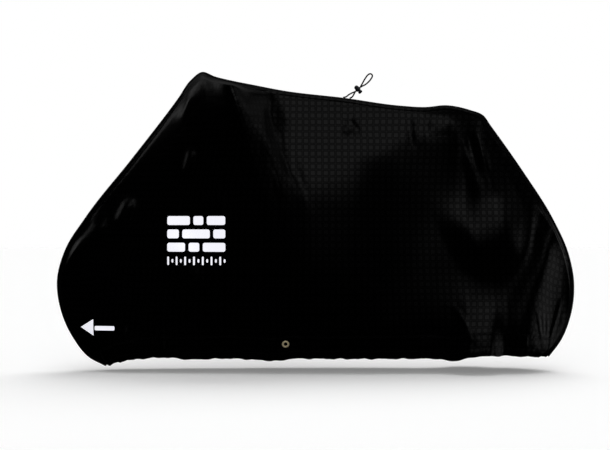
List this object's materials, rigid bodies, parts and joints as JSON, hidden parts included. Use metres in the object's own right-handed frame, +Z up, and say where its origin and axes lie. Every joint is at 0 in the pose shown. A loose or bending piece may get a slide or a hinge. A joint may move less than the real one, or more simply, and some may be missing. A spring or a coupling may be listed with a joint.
{
  "type": "bicycle cover",
  "caption": "Fitted cloth cover as it hangs over a bicycle: sides sewn to a centre gusset, gathered hem bands with brass lock eyelets, and a shock cord loop held by a toggle.",
  "frame": {"origin": "under the top of the cover halfway along its length, on the middle plane, where the bicycle's top holds it up", "axes": "+X along the bicycle to its rear, the front wheel's end at -X; +Y to the far side, the side with the print at -Y; +Z up"},
  "size_m": [1.8019, 0.5926, 1.0232],
  "materials": {
    "cloth": "coated ripstop",
    "brass": "polished",
    "cord": "braided",
    "plastic": "satin"
  },
  "bodies": {
    "root": {"side_near": "cloth", "side_far": "cloth", "gusset": "cloth", "hem_band_near": "cloth", "hem_band_far": "cloth", "eyelet_near": "brass", "eyelet_far": "brass", "shock_cord": "cord", "toggle_barrel": "plastic", "toggle_plunger": "plastic"}
  },
  "joints": []
}
